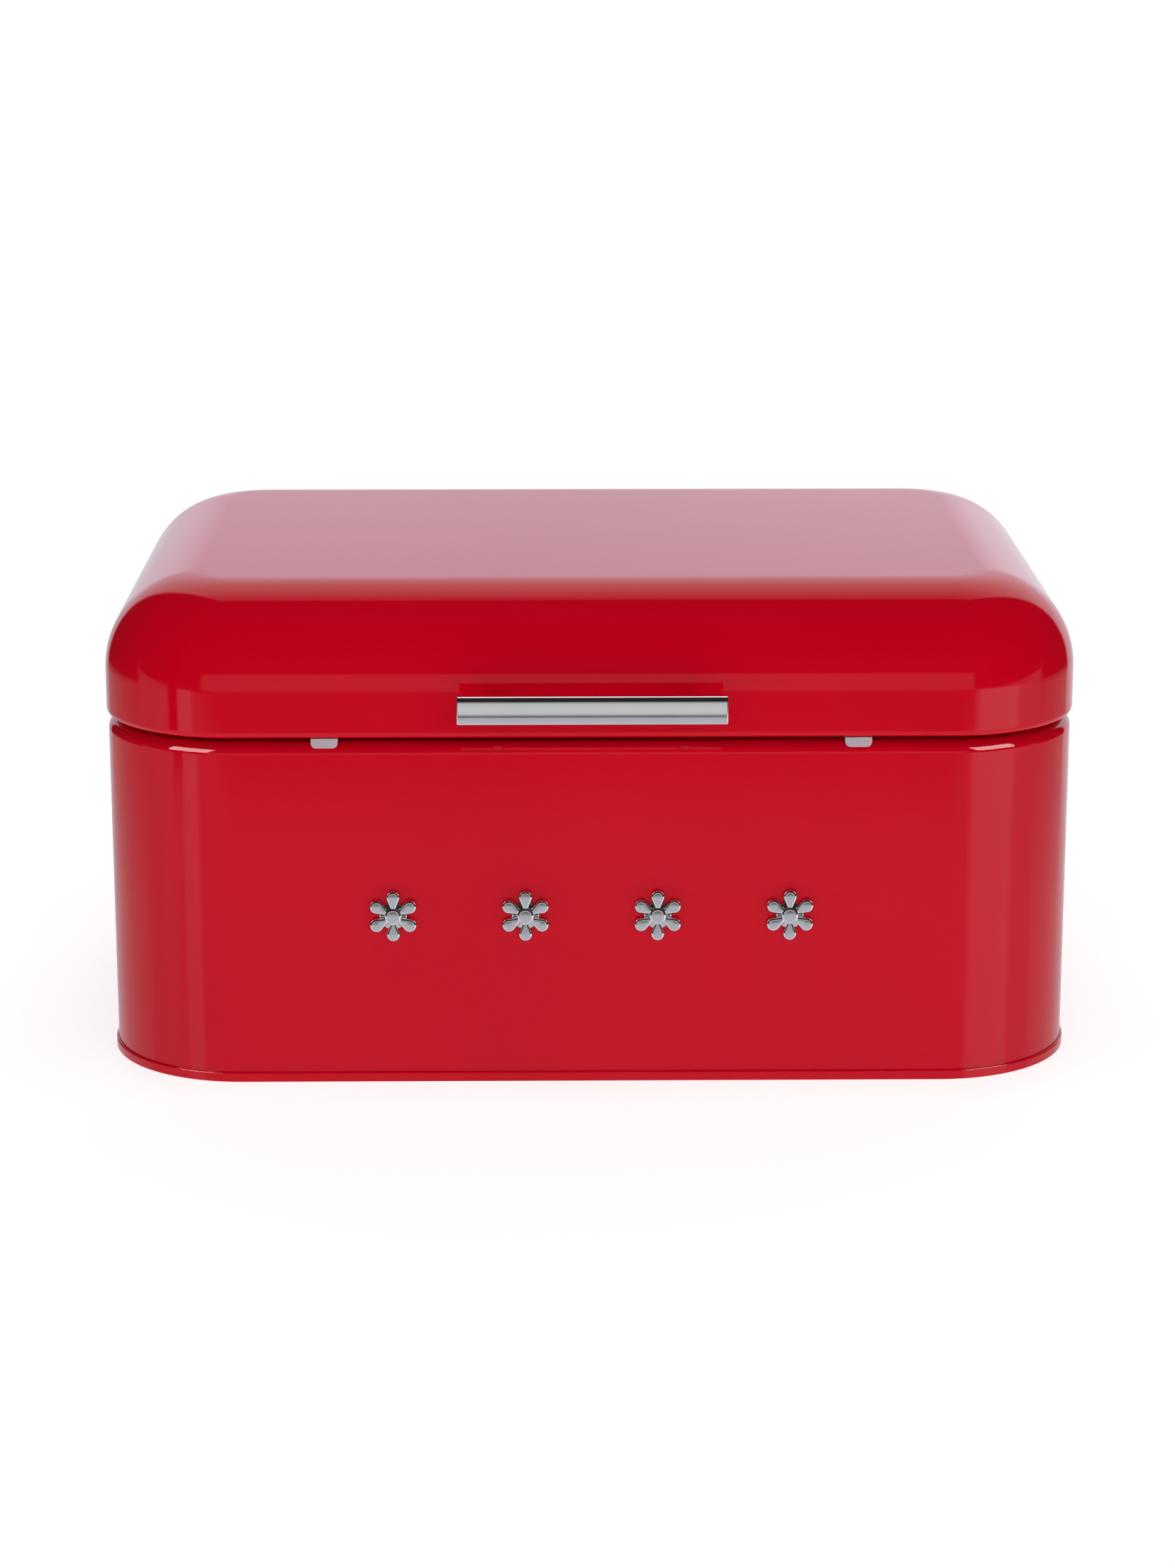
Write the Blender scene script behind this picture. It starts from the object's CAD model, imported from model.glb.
import math

import bpy
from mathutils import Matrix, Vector


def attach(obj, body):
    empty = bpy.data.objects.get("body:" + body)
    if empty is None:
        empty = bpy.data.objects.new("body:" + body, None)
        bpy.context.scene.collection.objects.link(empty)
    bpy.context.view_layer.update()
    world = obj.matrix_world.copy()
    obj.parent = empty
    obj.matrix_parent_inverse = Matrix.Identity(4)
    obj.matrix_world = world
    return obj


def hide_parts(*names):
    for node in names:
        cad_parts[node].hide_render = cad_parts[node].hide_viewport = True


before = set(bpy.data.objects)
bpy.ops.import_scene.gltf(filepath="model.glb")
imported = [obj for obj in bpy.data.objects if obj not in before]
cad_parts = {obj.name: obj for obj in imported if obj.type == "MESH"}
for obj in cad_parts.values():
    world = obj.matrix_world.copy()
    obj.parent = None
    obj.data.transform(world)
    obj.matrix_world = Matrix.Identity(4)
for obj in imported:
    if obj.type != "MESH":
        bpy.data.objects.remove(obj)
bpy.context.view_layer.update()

MM = 0.001
SHIFT = 7.425                 # the bin's plan centre sits this far behind the frame's origin, mm

# ---- sizes shared with the construction, mm ---------------------------------------------
T = 0.6
LID_A, LID_B, LID_R = 167.7, 117.0, 46.0
LID_Z, TOP_Z, EDGE_R, LIP_R, FLANGE = 121.35, 170.4, 33.2, 2.4, 7.0
BODY_A, BODY_B, BODY_R = 167.35, 116.5, 47.5
LEDGE_Z, SHOULDER_R, NECK_IN, NECK_Z = 119.7, 4.0, 9.5, 126.0
SEAM_OUT, SEAM_H, PANEL_Z = 0.8, 3.5, 3.4
BAR_L, BAR_H, BAR_D, BAR_GAP, BAR_Z0, BAR_R = 89.75, 9.32, 6.0, 15.0, 131.09, 24.5

scene = bpy.context.scene


# ---- node helpers ------------------------------------------------------------------------
class Mat:
    def __init__(self, name):
        self.m = bpy.data.materials.new(name)
        self.m.use_nodes = True
        self.t = self.m.node_tree
        self.t.nodes.clear()
        self.out = self.n("ShaderNodeOutputMaterial")
        self.p = self.n("ShaderNodeBsdfPrincipled")
        self.link(self.p.outputs["BSDF"], self.out.inputs["Surface"])
        self.co = self.n("ShaderNodeTexCoord")

    def n(self, kind, **props):
        node = self.t.nodes.new(kind)
        for k, v in props.items():
            setattr(node, k, v)
        return node

    def link(self, a, b):
        self.t.links.new(a, b)

    def mapped(self, scale):
        node = self.n("ShaderNodeMapping")
        node.inputs["Scale"].default_value = scale
        self.link(self.co.outputs["Object"], node.inputs["Vector"])
        return node.outputs["Vector"]

    def noise(self, scale, detail=2.0, rough=0.5, vector=None, distortion=0.0):
        node = self.n("ShaderNodeTexNoise")
        node.inputs["Scale"].default_value = scale
        node.inputs["Detail"].default_value = detail
        node.inputs["Roughness"].default_value = rough
        node.inputs["Distortion"].default_value = distortion
        self.link(vector or self.co.outputs["Object"], node.inputs["Vector"])
        return node.outputs["Fac"]

    def ramp(self, fac, stops):
        node = self.n("ShaderNodeValToRGB")
        cr = node.color_ramp
        while len(cr.elements) < len(stops):
            cr.elements.new(0.5)
        for e, (pos, col) in zip(cr.elements, stops):
            e.position = pos
            e.color = (*col, 1) if len(col) == 3 else col
        self.link(fac, node.inputs["Fac"])
        return node.outputs["Color"]

    def span(self, fac, lo, hi, f0=0.0, f1=1.0):
        node = self.n("ShaderNodeMapRange")
        node.inputs["From Min"].default_value = f0
        node.inputs["From Max"].default_value = f1
        node.inputs["To Min"].default_value = lo
        node.inputs["To Max"].default_value = hi
        self.link(fac, node.inputs["Value"])
        return node.outputs["Result"]

    def bump(self, height, distance, strength=1.0, normal=None):
        node = self.n("ShaderNodeBump")
        node.inputs["Strength"].default_value = strength
        node.inputs["Distance"].default_value = distance
        self.link(height, node.inputs["Height"])
        if normal is not None:
            self.link(normal, node.inputs["Normal"])
        return node.outputs["Normal"]

    def set(self, **values):
        for k, v in values.items():
            self.p.inputs[k.replace("_", " ")].default_value = v

    def wire(self, **outputs):
        for k, v in outputs.items():
            self.link(v, self.p.inputs[k.replace("_", " ")])


def enamel():
    """Glossy stove enamel: faint tone drift, orange-peel ripple, slightly uneven gloss."""
    k = Mat("red_enamel")
    tone = k.noise(9.0, 3.0, 0.55)
    k.wire(Base_Color=k.ramp(tone, [(0.30, (0.560, 0.0003, 0.0110)), (0.70, (0.600, 0.0006, 0.0130))]))
    gloss = k.noise(140.0, 4.0, 0.6)
    k.wire(Roughness=k.span(gloss, 0.035, 0.065, 0.3, 0.7))
    peel = k.noise(330.0, 1.5, 0.45)
    fine = k.noise(1500.0, 1.0, 0.5)
    b = k.bump(peel, 0.000006, 0.5)
    b = k.bump(fine, 0.0000006, 0.4, b)
    k.wire(Normal=b)
    k.set(IOR=1.36, Metallic=0.0)
    return k.m


def chrome():
    k = Mat("chrome_plate")
    hair = k.noise(900.0, 3.0, 0.7, k.mapped((0.04, 1.0, 1.0)))
    haze = k.noise(60.0, 3.0, 0.6)
    k.wire(Base_Color=k.ramp(haze, [(0.30, (0.84, 0.85, 0.85)), (0.75, (0.90, 0.91, 0.91))]))
    k.wire(Roughness=k.span(haze, 0.06, 0.095, 0.3, 0.7))
    k.wire(Normal=k.bump(hair, 0.0000015, 0.35))
    k.set(Metallic=1.0)
    return k.m


def steel():
    k = Mat("rolled_steel")
    grain = k.noise(700.0, 5.0, 0.7, k.mapped((0.05, 1.0, 1.0)))
    cloud = k.noise(120.0, 4.0, 0.6)
    k.wire(Base_Color=k.ramp(cloud, [(0.25, (0.44, 0.44, 0.45)), (0.75, (0.56, 0.56, 0.57))]))
    k.wire(Roughness=k.span(grain, 0.24, 0.42, 0.3, 0.7))
    k.wire(Normal=k.bump(grain, 0.00001, 0.35))
    k.set(Metallic=1.0)
    return k.m


def silicone():
    k = Mat("bumper_silicone")
    cloud = k.noise(260.0, 3.0, 0.6)
    k.wire(Base_Color=k.ramp(cloud, [(0.3, (0.45, 0.37, 0.41)), (0.7, (0.51, 0.43, 0.47))]))
    k.wire(Roughness=k.span(cloud, 0.38, 0.52, 0.3, 0.7))
    k.wire(Normal=k.bump(k.noise(2200.0, 2.0), 0.00002, 0.3))
    k.set(IOR=1.41, Subsurface_Weight=0.35, Subsurface_Scale=0.002)
    return k.m


def foam():
    k = Mat("pad_foam")
    cell = k.n("ShaderNodeTexVoronoi")
    cell.inputs["Scale"].default_value = 2500.0
    k.link(k.co.outputs["Object"], cell.inputs["Vector"])
    k.wire(Base_Color=k.ramp(cell.outputs["Distance"], [(0.1, (0.030, 0.030, 0.032)), (0.8, (0.075, 0.075, 0.078))]))
    k.wire(Normal=k.bump(cell.outputs["Distance"], 0.00005, 0.5))
    k.set(Roughness=0.85)
    return k.m


RED, CHROME, STEEL, SILICONE, FOAM = enamel(), chrome(), steel(), silicone(), foam()


# ---- swept sheet-metal shells --------------------------------------------------------------
def line(p, q, n=1):
    """Points of a straight run, each with its normal (material lies to the right)."""
    dx, dz = q[0] - p[0], q[1] - p[1]
    ln = math.hypot(dx, dz)
    nn = (-dz / ln, dx / ln)
    return [((p[0] + dx * i / n, p[1] + dz * i / n), nn) for i in range(n + 1)]


def arc(c, r, a0, a1, n):
    pts = []
    s = 1.0 if a1 > a0 else -1.0
    for i in range(n + 1):
        a = math.radians(a0 + (a1 - a0) * i / n)
        pts.append(((c[0] + r * math.cos(a), c[1] + r * math.sin(a)), (-s * math.cos(a), -s * math.sin(a))))
    return pts


def rr_path(a, b, r, d, nc, ns):
    """Rounded rectangle inset by d: points and outward normals, anticlockwise from above."""
    out = []
    corners = [(a - r, b - r, 0), (-(a - r), b - r, 90), (-(a - r), -(b - r), 180), (a - r, -(b - r), 270)]
    for k, (cx, cy, a0) in enumerate(corners):
        for i in range(nc + 1):
            t = math.radians(a0 + 90.0 * i / nc)
            out.append((cx + (r - d) * math.cos(t), cy + (r - d) * math.sin(t), math.cos(t), math.sin(t)))
        nx, ny, n0 = corners[(k + 1) % 4]
        t = math.radians(a0 + 90)
        x0, y0 = out[-1][0], out[-1][1]
        x1, y1 = nx + (r - d) * math.cos(t), ny + (r - d) * math.sin(t)
        for i in range(1, ns):
            out.append((x0 + (x1 - x0) * i / ns, y0 + (y1 - y0) * i / ns, math.cos(t), math.sin(t)))
    return out


def finish_mesh(name, verts, faces, normals, mat, body, nodes):
    me = bpy.data.meshes.new(name)
    me.from_pydata([Vector(v) * MM for v in verts], [], faces)
    me.polygons.foreach_set("use_smooth", [True] * len(me.polygons))
    me.normals_split_custom_set(normals)
    me.update()
    me.validate(verbose=False, clean_customdata=False)
    ob = bpy.data.objects.new(name, me)
    scene.collection.objects.link(ob)
    me.materials.append(mat)
    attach(ob, body)
    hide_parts(*nodes)
    return ob


def sweep(runs, a, b, r, closed, nc=36, ns=10):
    """Runs of (point, normal) in (inset, z) carried round a rounded rectangle."""
    pts, strips = [], []
    for run in runs:
        if not pts:
            pts.append(run[0][0])
        for (p0, n0), (p1, n1) in zip(run, run[1:]):
            i = len(pts) - 1
            pts.append(p1)
            strips.append((i, i + 1, n0, n1))
    if closed:
        last = len(pts) - 1
        pts.pop()
        strips = [(i, 0 if j == last else j, n0, n1) for i, j, n0, n1 in strips]
    verts, ring = [], None
    for d, z in pts:
        path = rr_path(a, b, r, d, nc, ns)
        ring = len(path)
        verts += [(x, y + SHIFT, z) for x, y, _, _ in path]
    heads = [(h[2], h[3]) for h in rr_path(a, b, r, 0, nc, ns)]
    faces, normals = [], []
    for i, j, n0, n1 in strips:
        for q in range(ring):
            w = (q + 1) % ring
            faces.append((i * ring + q, i * ring + w, j * ring + w, j * ring + q))
            for n, h in ((n0, q), (n0, w), (n1, w), (n1, q)):
                normals.append((-n[0] * heads[h][0], -n[0] * heads[h][1], n[1]))
    return verts, faces, normals, ring, len(pts)


def cap(faces, normals, ring, row, up):
    idx = [row * ring + q for q in range(ring)]
    faces.append(tuple(idx if up else idx[::-1]))
    normals += [(0, 0, 1 if up else -1)] * ring


# lid: flange, rolled edge, skirt, crown and flat top, then back down the inside
zk, lip, crown = TOP_Z - EDGE_R, (LIP_R, LID_Z + LIP_R), (EDGE_R, TOP_Z - EDGE_R)
runs = [
    arc(crown, EDGE_R - T, 90, 180, 40) + line((T, zk), (T, lip[1]), 3)[1:]
    + arc(lip, LIP_R - T, 180, 270, 8)[1:] + line((LIP_R, LID_Z + T), (FLANGE, LID_Z + T), 2)[1:],
    arc((FLANGE, LID_Z + T / 2), T / 2, 90, -90, 6),
    line((FLANGE, LID_Z), (LIP_R, LID_Z), 2) + arc(lip, LIP_R, 270, 180, 10)[1:]
    + line((0, lip[1]), (0, zk), 4)[1:] + arc(crown, EDGE_R, 180, 90, 48)[1:],
]
v, f, n, ring, rows = sweep(runs, LID_A, LID_B, LID_R, False, 40, 12)
cap(f, n, ring, 0, False)
cap(f, n, ring, rows - 1, True)
lid = finish_mesh("lid_shell_enamel", v, f, n, RED, "lid", ["lid_shell"])

# body wall: up the outside, over the shoulder and ledge, up the neck, hem, and back down
zs, cs = LEDGE_Z - SHOULDER_R, (SHOULDER_R, LEDGE_Z - SHOULDER_R)
bend = (NECK_IN - 0.8, LEDGE_Z + 0.8)
hem = (NECK_IN + T, NECK_Z)
runs = [
    line((0, 0.7), (0, zs), 8) + arc(cs, SHOULDER_R, 180, 90, 14)[1:]
    + line((SHOULDER_R, LEDGE_Z), (bend[0], LEDGE_Z), 2)[1:] + arc(bend, 0.8, 270, 360, 6)[1:]
    + line((NECK_IN, bend[1]), (NECK_IN, NECK_Z), 2)[1:] + arc(hem, T, 180, 0, 10)[1:]
    + line((NECK_IN + 2 * T, NECK_Z), (NECK_IN + 2 * T, NECK_Z - 3.5), 1)[1:],
    line((NECK_IN + 2 * T, NECK_Z - 3.5), (NECK_IN + T, NECK_Z - 3.5)),
    line((NECK_IN + T, NECK_Z - 3.5), (NECK_IN + T, bend[1])) + arc(bend, 0.8 + T, 360, 270, 6)[1:]
    + line((bend[0], LEDGE_Z - T), (SHOULDER_R, LEDGE_Z - T), 2)[1:] + arc(cs, SHOULDER_R - T, 90, 180, 12)[1:]
    + line((T, zs), (T, 0.7), 8)[1:],
    line((T, 0.7), (0, 0.7)),
]
v, f, n, ring, rows = sweep(runs, BODY_A, BODY_B, BODY_R, True, 40, 12)
# the lap of the wrapped sheet, inside at the back
y0, y1 = BODY_B - 2 * T + SHIFT, BODY_B - T + 0.02 + SHIFT
k0 = len(v)
v += [(-2.6, y1, 4.2), (2.6, y1, 4.2), (2.6, y1, zs - 1), (-2.6, y1, zs - 1),
      (-2.3, y0, 4.5), (2.3, y0, 4.5), (2.3, y0, zs - 1.3), (-2.3, y0, zs - 1.3)]
for q, nn in (((4, 5, 6, 7), (0, -1, 0)), ((0, 4, 7, 3), (-0.9, -0.43, 0)), ((1, 2, 6, 5), (0.9, -0.43, 0)),
              ((0, 1, 5, 4), (0, -0.7, -0.7)), ((3, 7, 6, 2), (0, -0.7, 0.7)), ((0, 3, 2, 1), (0, 1, 0))):
    f.append(tuple(k0 + i for i in q))
    n += [nn] * 4
wall = finish_mesh("body_wall_enamel", v, f, n, RED, "bin", ["body_wall"])

# base pan: the seam folded round the wall's edge, and the recessed panel
g = 0.05
c1, c2, c3 = (-SEAM_OUT + 0.55, SEAM_H - 0.55), (2 * T + g - 0.5, 0.5), (-SEAM_OUT + 0.5, 0.5)
runs = [
    line((12.0, PANEL_Z - T), (2 * T + g, PANEL_Z - T), 2),
    line((2 * T + g, PANEL_Z - T), (2 * T + g, 0.5)) + arc(c2, 0.5, 0, -90, 6)[1:]
    + line((c2[0], 0), (c3[0], 0))[1:] + arc(c3, 0.5, 270, 180, 6)[1:]
    + line((-SEAM_OUT, 0.5), (-SEAM_OUT, c1[1]), 2)[1:] + arc(c1, 0.55, 180, 90, 6)[1:]
    + line((c1[0], SEAM_H), (-g, SEAM_H))[1:],
    line((-g, SEAM_H), (-g, 0.65)),
    line((-g, 0.65), (T + g, 0.65)),
    line((T + g, 0.65), (T + g, PANEL_Z)),
    line((T + g, PANEL_Z), (12.0, PANEL_Z), 2),
]
v, f, n, ring, rows = sweep(runs, BODY_A, BODY_B, BODY_R, False, 40, 12)
cap(f, n, ring, 0, False)
cap(f, n, ring, rows - 1, True)
base = finish_mesh("base_pan_enamel", v, f, n, RED, "bin", ["base_pan"])


# ---- handle bar: shallow convex face, rounded top edge, softened ends -------------------------
def bar_profile():
    """Closed (y, z) outline with outward normals, front bottom first, going up the front."""
    yb, yf = -(LID_B + BAR_GAP), -(LID_B + BAR_GAP + BAR_D)
    z0, z1 = BAR_Z0, BAR_Z0 + BAR_H
    c = (yf + BAR_R, BAR_Z0 + 2.9)
    rt, rb, rk = 1.8, 0.7, 0.5

    def corner(z, r, sign):
        """Fillet between the face arc and the flat at z: centre and the arc's contact angle."""
        cz = z - sign * r
        cy = c[0] - math.sqrt((BAR_R - r) ** 2 - (cz - c[1]) ** 2)
        return (cy, cz), math.asin((cz - c[1]) / (BAR_R - r))

    ct, at = corner(z1, rt, 1)
    cb, ab = corner(z0, rb, -1)
    pts = []

    def turn(centre, r, a, b, n, first=0):
        for i in range(first, n + 1):
            t = a + (b - a) * i / n
            pts.append((centre[0] - r * math.cos(t), centre[1] + r * math.sin(t), -math.cos(t), math.sin(t)))

    turn(cb, rb, -math.pi / 2, ab, 8)
    turn(c, BAR_R, ab, at, 18, 1)
    turn(ct, rt, at, math.pi / 2, 14, 1)
    turn((yb - rk, z1 - rk), rk, math.pi / 2, math.pi, 6)
    turn((yb - rk, z0 + rk), rk, math.pi, 1.5 * math.pi, 6)
    return pts


prof = bar_profile()
m = len(prof)
stations, rho, h = [], 0.45, BAR_L / 2
for i in range(7):
    t = math.radians(90 - 15 * i)
    stations.append((-h + rho - rho * math.sin(t), rho * (1 - math.cos(t)), -math.sin(t), math.cos(t)))
for i in range(1, 12):
    stations.append((-h + rho + (BAR_L - 2 * rho) * i / 12, 0, 0, 1))
for i in range(7):
    t = math.radians(15 * i)
    stations.append((h - rho + rho * math.sin(t), rho * (1 - math.cos(t)), math.sin(t), math.cos(t)))
v, f, n = [], [], []
for x, inset, _, _ in stations:
    v += [(x, y - ny * inset + SHIFT, z - nz * inset) for y, z, ny, nz in prof]
for s in range(len(stations) - 1):
    for q in range(m):
        w = (q + 1) % m
        f.append((s * m + q, (s + 1) * m + q, (s + 1) * m + w, s * m + w))
        for st, pt in ((s, q), (s + 1, q), (s + 1, w), (s, w)):
            _, _, ax, ap = stations[st]
            n.append((ax, prof[pt][2] * ap, prof[pt][3] * ap))
last = (len(stations) - 1) * m
f.append(tuple(range(m)))
n += [(-1, 0, 0)] * m
f.append(tuple(last + q for q in range(m))[::-1])
n += [(1, 0, 0)] * m
bar = finish_mesh("handle_bar_chrome", v, f, n, CHROME, "lid", ["handle_bar"])


# ---- construction pieces kept as they are, with softened edges and their own finish -----------
def dress(node, mat, bevel=0.0, angle=30.0, segments=2):
    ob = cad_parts[node]
    me = ob.data
    me.materials.clear()
    me.materials.append(mat)
    for poly in me.polygons:
        poly.material_index = 0
        poly.use_smooth = True
    if me.has_custom_normals:
        with bpy.context.temp_override(object=ob, active_object=ob, selected_objects=[ob]):
            bpy.ops.mesh.customdata_custom_splitnormals_clear()
    weld = ob.modifiers.new("weld", "WELD")
    weld.merge_threshold = 0.000002
    if bevel:
        b = ob.modifiers.new("edge", "BEVEL")
        b.width = bevel * MM
        b.segments = segments
        b.limit_method = "ANGLE"
        b.angle_limit = math.radians(angle)
        b.harden_normals = True
        b.use_clamp_overlap = True
    return ob


for name in ("rosette_1", "rosette_2", "rosette_3", "rosette_4"):
    dress(name, CHROME)
dress("handle_spacers", CHROME, 0.25)
for name in ("hinge_body_leaf_left", "hinge_body_leaf_right", "hinge_lid_leaf_left", "hinge_lid_leaf_right"):
    dress(name, STEEL, 0.12)
for name in ("hinge_pin_left", "hinge_pin_right", "body_rivets", "lid_rivets", "handle_screws", "handle_washers"):
    dress(name, STEEL, 0.08)
for name in ("bumper_left", "bumper_right"):
    dress(name, SILICONE, 0.3, 30, 3)
dress("rosette_pads", FOAM)


# ---- stage: pale floor, soft lights, camera -------------------------------------------------------
def stage_disc(name, rings, mat):
    """A round sheet of (radius, z) rings about the vertical axis; a first radius of 0 closes it."""
    seg = 96
    verts, faces = [], []
    for r, z in rings:
        for i in range(seg):
            t = 2 * math.pi * i / seg
            verts.append((r * math.cos(t), r * math.sin(t), z))
    for k in range(len(rings) - 1):
        for i in range(seg):
            j = (i + 1) % seg
            faces.append((k * seg + i, (k + 1) * seg + i, (k + 1) * seg + j, k * seg + j))
    faces.append(tuple(range(seg))) if rings[0][0] < 1.0 else None
    me = bpy.data.meshes.new(name)
    me.from_pydata(verts, [], faces)
    me.polygons.foreach_set("use_smooth", [True] * len(me.polygons))
    ob = bpy.data.objects.new(name, me)
    scene.collection.objects.link(ob)
    me.materials.append(mat)
    ob.visible_glossy = False
    return ob


def stage_material(name, albedo, near, far):
    """Matt white that brightens away from the middle, as a lit sweep does."""
    k = Mat(name)
    grain = k.noise(3.0, 2.0)
    lo = tuple(c * 0.985 for c in albedo)
    k.wire(Base_Color=k.ramp(grain, [(0.3, lo), (0.7, albedo)]))
    ln = k.n("ShaderNodeVectorMath", operation="LENGTH")
    k.link(k.co.outputs["Object"], ln.inputs[0])
    k.wire(Emission_Strength=k.span(ln.outputs["Value"], near, far, 0.4, 2.2))
    k.set(Roughness=0.9, Specular_IOR_Level=0.1, Emission_Color=(1.0, 1.0, 1.0, 1.0))
    return k.m


FLOOR_R = 6.0
stage_disc("stage_floor", [(0.9, 0.0), (2.0, 0.0), (FLOOR_R, 0.0)],
           stage_material("stage_floor_white", (0.50, 0.50, 0.505), 0.70, 0.98))
cove = [(FLOOR_R + 1.5 * math.sin(math.radians(a)), 1.5 - 1.5 * math.cos(math.radians(a))) for a in range(0, 91, 6)]
sweep_wall = stage_disc("stage_wall", cove + [(FLOOR_R + 1.5, 6.0)], stage_material("stage_wall_white", (0.8, 0.8, 0.81), 1.0, 1.0))
sweep_wall.visible_diffuse = False
sweep_wall.visible_transmission = False
sweep_wall.visible_shadow = False


def soft_light(name, at, look, w, h, radiance, colour=(1, 1, 1)):
    li = bpy.data.lights.new(name, "AREA")
    li.shape = "RECTANGLE"
    li.size, li.size_y = w, h
    li.energy = radiance * math.pi * w * h
    li.color = colour
    ob = bpy.data.objects.new(name, li)
    scene.collection.objects.link(ob)
    ob.location = at
    d = Vector(look) - Vector(at)
    ob.rotation_euler = d.to_track_quat("-Z", "Y").to_euler()
    return ob


def polar(az, el, dist, centre=(0, 0.005, 0.1)):
    """Azimuth from the front, positive to the right."""
    a, e = math.radians(az), math.radians(el)
    return (centre[0] + dist * math.cos(e) * math.sin(a), centre[1] - dist * math.cos(e) * math.cos(a),
            centre[2] + dist * math.sin(e))


MID = (0, 0.005, 0.1)
# diffused key from the front; it is scrimmed, so it lights without a hard reflection
key = soft_light("soft_key", polar(5, 20, 3.2), MID, 4.0, 1.4, 2.5)
key.visible_glossy = False
top = soft_light("soft_top", polar(0, 84, 2.6), MID, 2.2, 1.2, 3.4)
top.visible_glossy = False
# two strip boxes low at the sides of the camera, flagged off everything but the body and its base
flagged = bpy.data.collections.new("strip_receivers")
for ob in (wall, base):
    flagged.objects.link(ob)
for side, az in (("left", -46), ("right", 49)):
    strip = soft_light("strip_" + side, polar(az, 22, 2.2), MID, 1.3, 1.15, 13.0, (1.0, 0.97, 0.93))
    strip.visible_diffuse = False
    strip.light_linking.receiver_collection = flagged

# surroundings: a white sheet behind under a dark ceiling, a low light zone in front, the pale table
# below, and the glow of two side panels on it
world = bpy.data.worlds.new("studio")
world.use_nodes = True
wt = world.node_tree


def w_node(kind, **props):
    node = wt.nodes.new(kind)
    for k, v in props.items():
        setattr(node, k, v)
    return node


def w_ramp(value, lo, hi, stops):
    """Colour ramp over a span of values; stops are (value, level) or (value, level, blue/green)."""
    rng = w_node("ShaderNodeMapRange")
    rng.inputs["From Min"].default_value, rng.inputs["From Max"].default_value = lo, hi
    wt.links.new(value, rng.inputs["Value"])
    node = w_node("ShaderNodeValToRGB")
    wt.links.new(rng.outputs["Result"], node.inputs["Fac"])
    cr = node.color_ramp
    while len(cr.elements) < len(stops):
        cr.elements.new(0.5)
    for e, st in zip(cr.elements, stops):
        lev = st[1] / GAIN
        e.position = (st[0] - lo) / (hi - lo)
        e.color = (lev, lev, lev * (st[2] if len(st) > 2 else 1.0), 1.0)
    return node.outputs["Color"]


def w_angle(up, along):
    """Angle in degrees of one direction component over another."""
    at = w_node("ShaderNodeMath", operation="ARCTAN2")
    wt.links.new(up, at.inputs[0])
    wt.links.new(along, at.inputs[1])
    deg = w_node("ShaderNodeMath", operation="DEGREES")
    wt.links.new(at.outputs["Value"], deg.inputs[0])
    return deg.outputs["Value"]


def w_mix(blend, fac, a, b):
    node = w_node("ShaderNodeMix", data_type="RGBA", blend_type=blend)
    if isinstance(fac, float):
        node.inputs[0].default_value = fac
    else:
        wt.links.new(fac, node.inputs[0])
    wt.links.new(a, node.inputs[6])
    wt.links.new(b, node.inputs[7])
    return node.outputs[2]


GAIN = 2.0
co = w_node("ShaderNodeTexCoord")
xyz = w_node("ShaderNodeSeparateXYZ")
wt.links.new(co.outputs["Generated"], xyz.inputs["Vector"])
X, Y, Z = xyz.outputs["X"], xyz.outputs["Y"], xyz.outputs["Z"]
# round the bin from the back horizon, over the top, to the front and back underneath
over = w_ramp(w_angle(Z, Y), -180.0, 180.0, [
    (-180, 0.02), (-170, 0.03), (-167.3, 0.10), (-166.2, 0.10), (-164.6, 0.44, 1.1),
    (-150, 0.54, 1.1), (-20, 0.62, 1.1), (-2, 0.80, 1.12), (6, 0.97, 1.16), (9.6, 0.95, 1.16), (11.6, 0.86, 1.15),
    (20, 0.98, 1.14), (40, 1.12, 1.0), (56, 1.12, 0.96), (64, 0.86, 1.0), (72, 0.50), (75, 0.02), (180, 0.02)])
# a pale zone straight in front, behind the camera
ahead = w_ramp(w_angle(Z, Y), -180.0, 180.0, [
    (-180, 0.58), (-171.5, 0.55), (-169.5, 0.38), (-167.3, 0.0), (169.8, 0.0), (172, 0.50), (180, 0.58)])
reach = w_ramp(w_angle(X, Y), -180.0, 180.0, [
    (-180, GAIN), (-153.5, GAIN), (-150.5, 0.0), (155.5, 0.0), (158.5, GAIN), (180, GAIN)])
ahead = w_mix("MULTIPLY", 1.0, ahead, reach)
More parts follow.
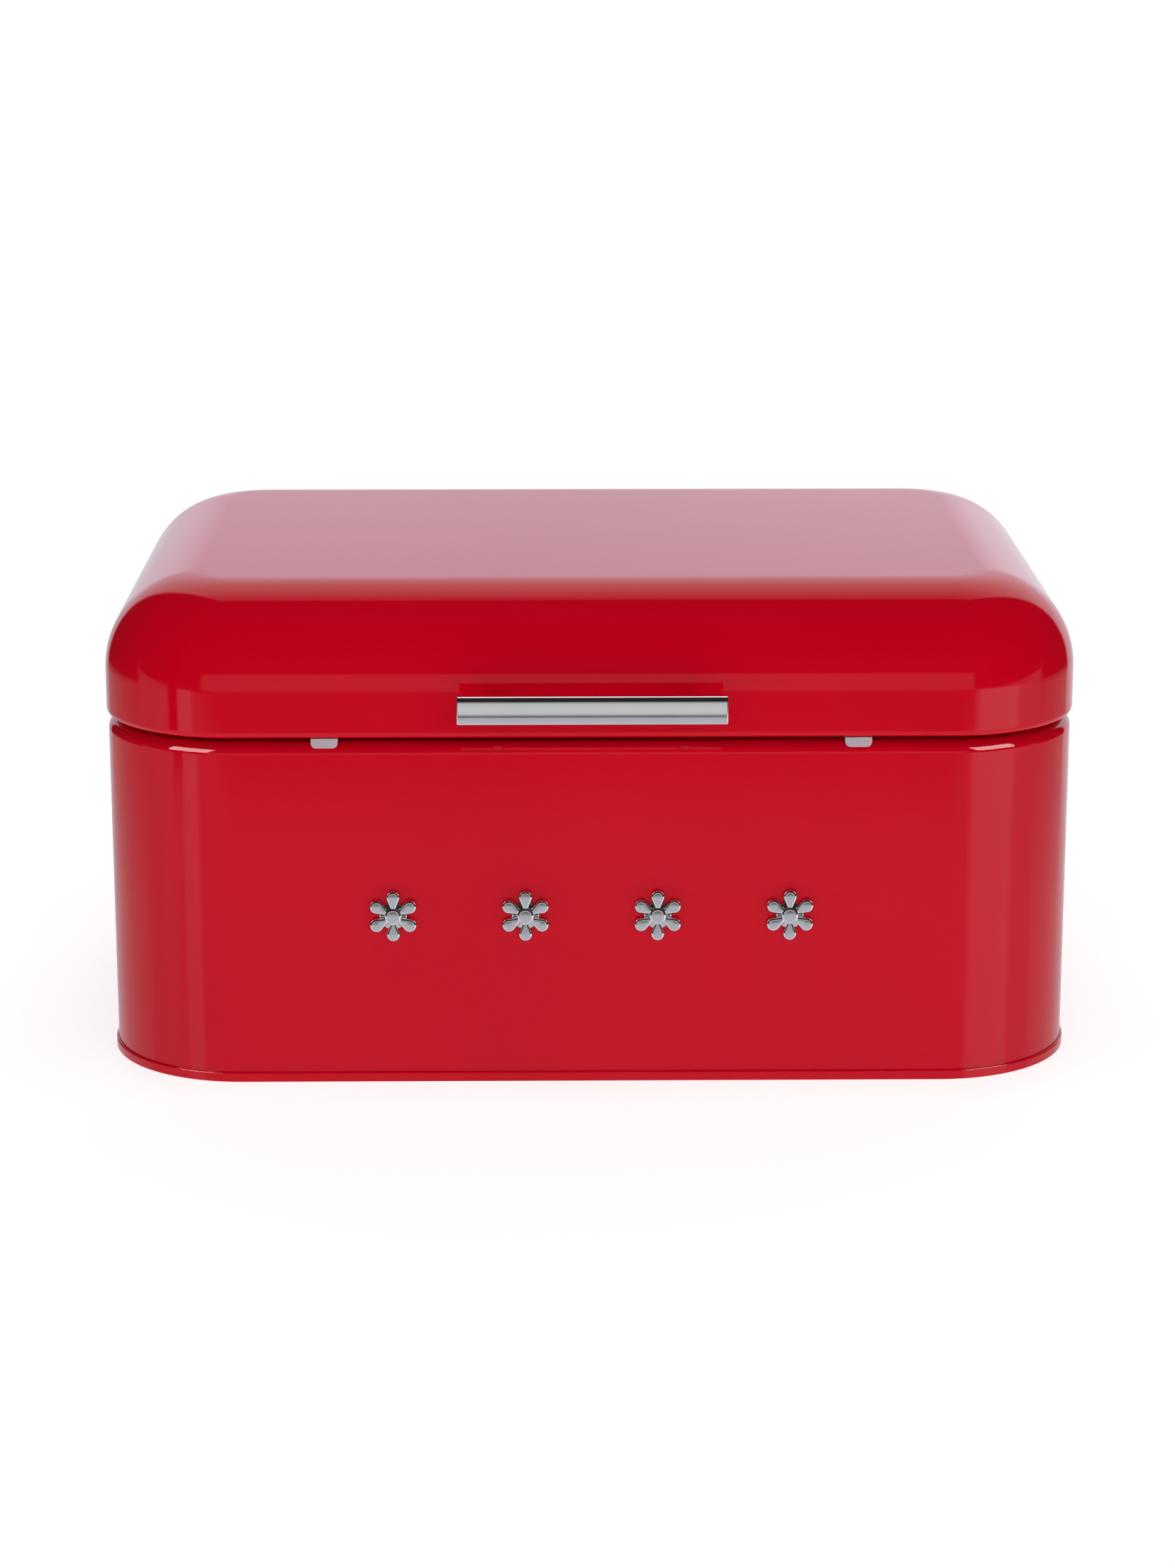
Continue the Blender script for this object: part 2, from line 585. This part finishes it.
# beside the white sheet the surroundings are dark down to the table
beside = w_ramp(Z, -1.0, 1.0, [(-1.0, 0.7), (-0.28, 0.74), (-0.225, 0.42), (-0.17, 0.2), (-0.14, 0.02), (1.0, 0.02)])
sheet = w_ramp(w_angle(X, Y), -180.0, 180.0, [
    (-180, GAIN), (-93, GAIN), (-87, 0.0), (-33.0, 0.0), (-30.0, GAIN), (42, GAIN), (45, 0.0), (87, 0.0), (93, GAIN), (180, GAIN)])
glow = w_ramp(w_angle(X, Y), -180.0, 180.0, [
    (-180, 0.0), (-144, 0.0), (-141, 0.75), (-130, 0.65), (-127, 0.10), (-112, 0.18), (-100, 0.0),
    (95, 0.05), (112, 0.30), (117, 1.05), (149, 1.05), (156, 0.0), (180, 0.0)])
low = w_ramp(Z, -1.0, 1.0, [(-1.0, 0.0), (-0.45, 0.3 * GAIN), (-0.28, 0.7 * GAIN), (-0.22, GAIN), (-0.195, GAIN), (-0.165, 0.0)])
glow = w_mix("MULTIPLY", 1.0, glow, low)
# a stand between the left panels, cut off near the table
stand = w_ramp(w_angle(X, Y), -180.0, 180.0, [(-180, GAIN), (-129.8, GAIN), (-129.0, 0.0), (-121.5, 0.0), (-120.0, GAIN), (180, GAIN)])
foot = w_ramp(Z, -1.0, 1.0, [(-1.0, GAIN), (-0.252, GAIN), (-0.244, 0.0), (1.0, 0.0)])
stand = w_mix("LIGHTEN", 1.0, stand, foot)
# the sheet is brighter on its right
lift = w_ramp(w_angle(X, Y), -180.0, 180.0, [(-180, 0.0), (0, 0.0), (14, 0.16), (42, 0.30), (46, 0.0), (180, 0.0)])
tall = w_ramp(Z, -1.0, 1.0, [(-1.0, 0.0), (-0.3, 0.5 * GAIN), (-0.2, GAIN), (0.5, GAIN), (0.85, 0.0), (1.0, 0.0)])
glow = w_mix("ADD", 1.0, glow, w_mix("MULTIPLY", 1.0, lift, tall))
total = w_mix("ADD", 1.0, w_mix("ADD", 1.0, w_mix("MIX", sheet, beside, over), ahead), glow)
total = w_mix("MULTIPLY", 1.0, total, stand)
bg = wt.nodes["Background"]
wt.links.new(total, bg.inputs["Color"])
bg.inputs["Strength"].default_value = GAIN
world.cycles.sampling_method = "NONE"
scene.world = world

cam_data = bpy.data.cameras.new("camera")
cam_data.sensor_width = 36.0
cam_data.lens = 5249.1 * 36.0 / 2212.0
cam = bpy.data.objects.new("camera", cam_data)
scene.collection.objects.link(cam)
yaw, pitch, dist, height = math.radians(0.689), math.radians(14.584), 1.3321, 0.4218
cam.location = (-dist * math.sin(yaw), -dist * math.cos(yaw) + SHIFT * MM, height)
cam.rotation_euler = (math.pi / 2 - pitch, 0, -yaw)
scene.camera = cam
scene.view_settings.view_transform = "Standard"
scene.cycles.denoising_input_passes = "RGB"

bpy.context.view_layer.update()
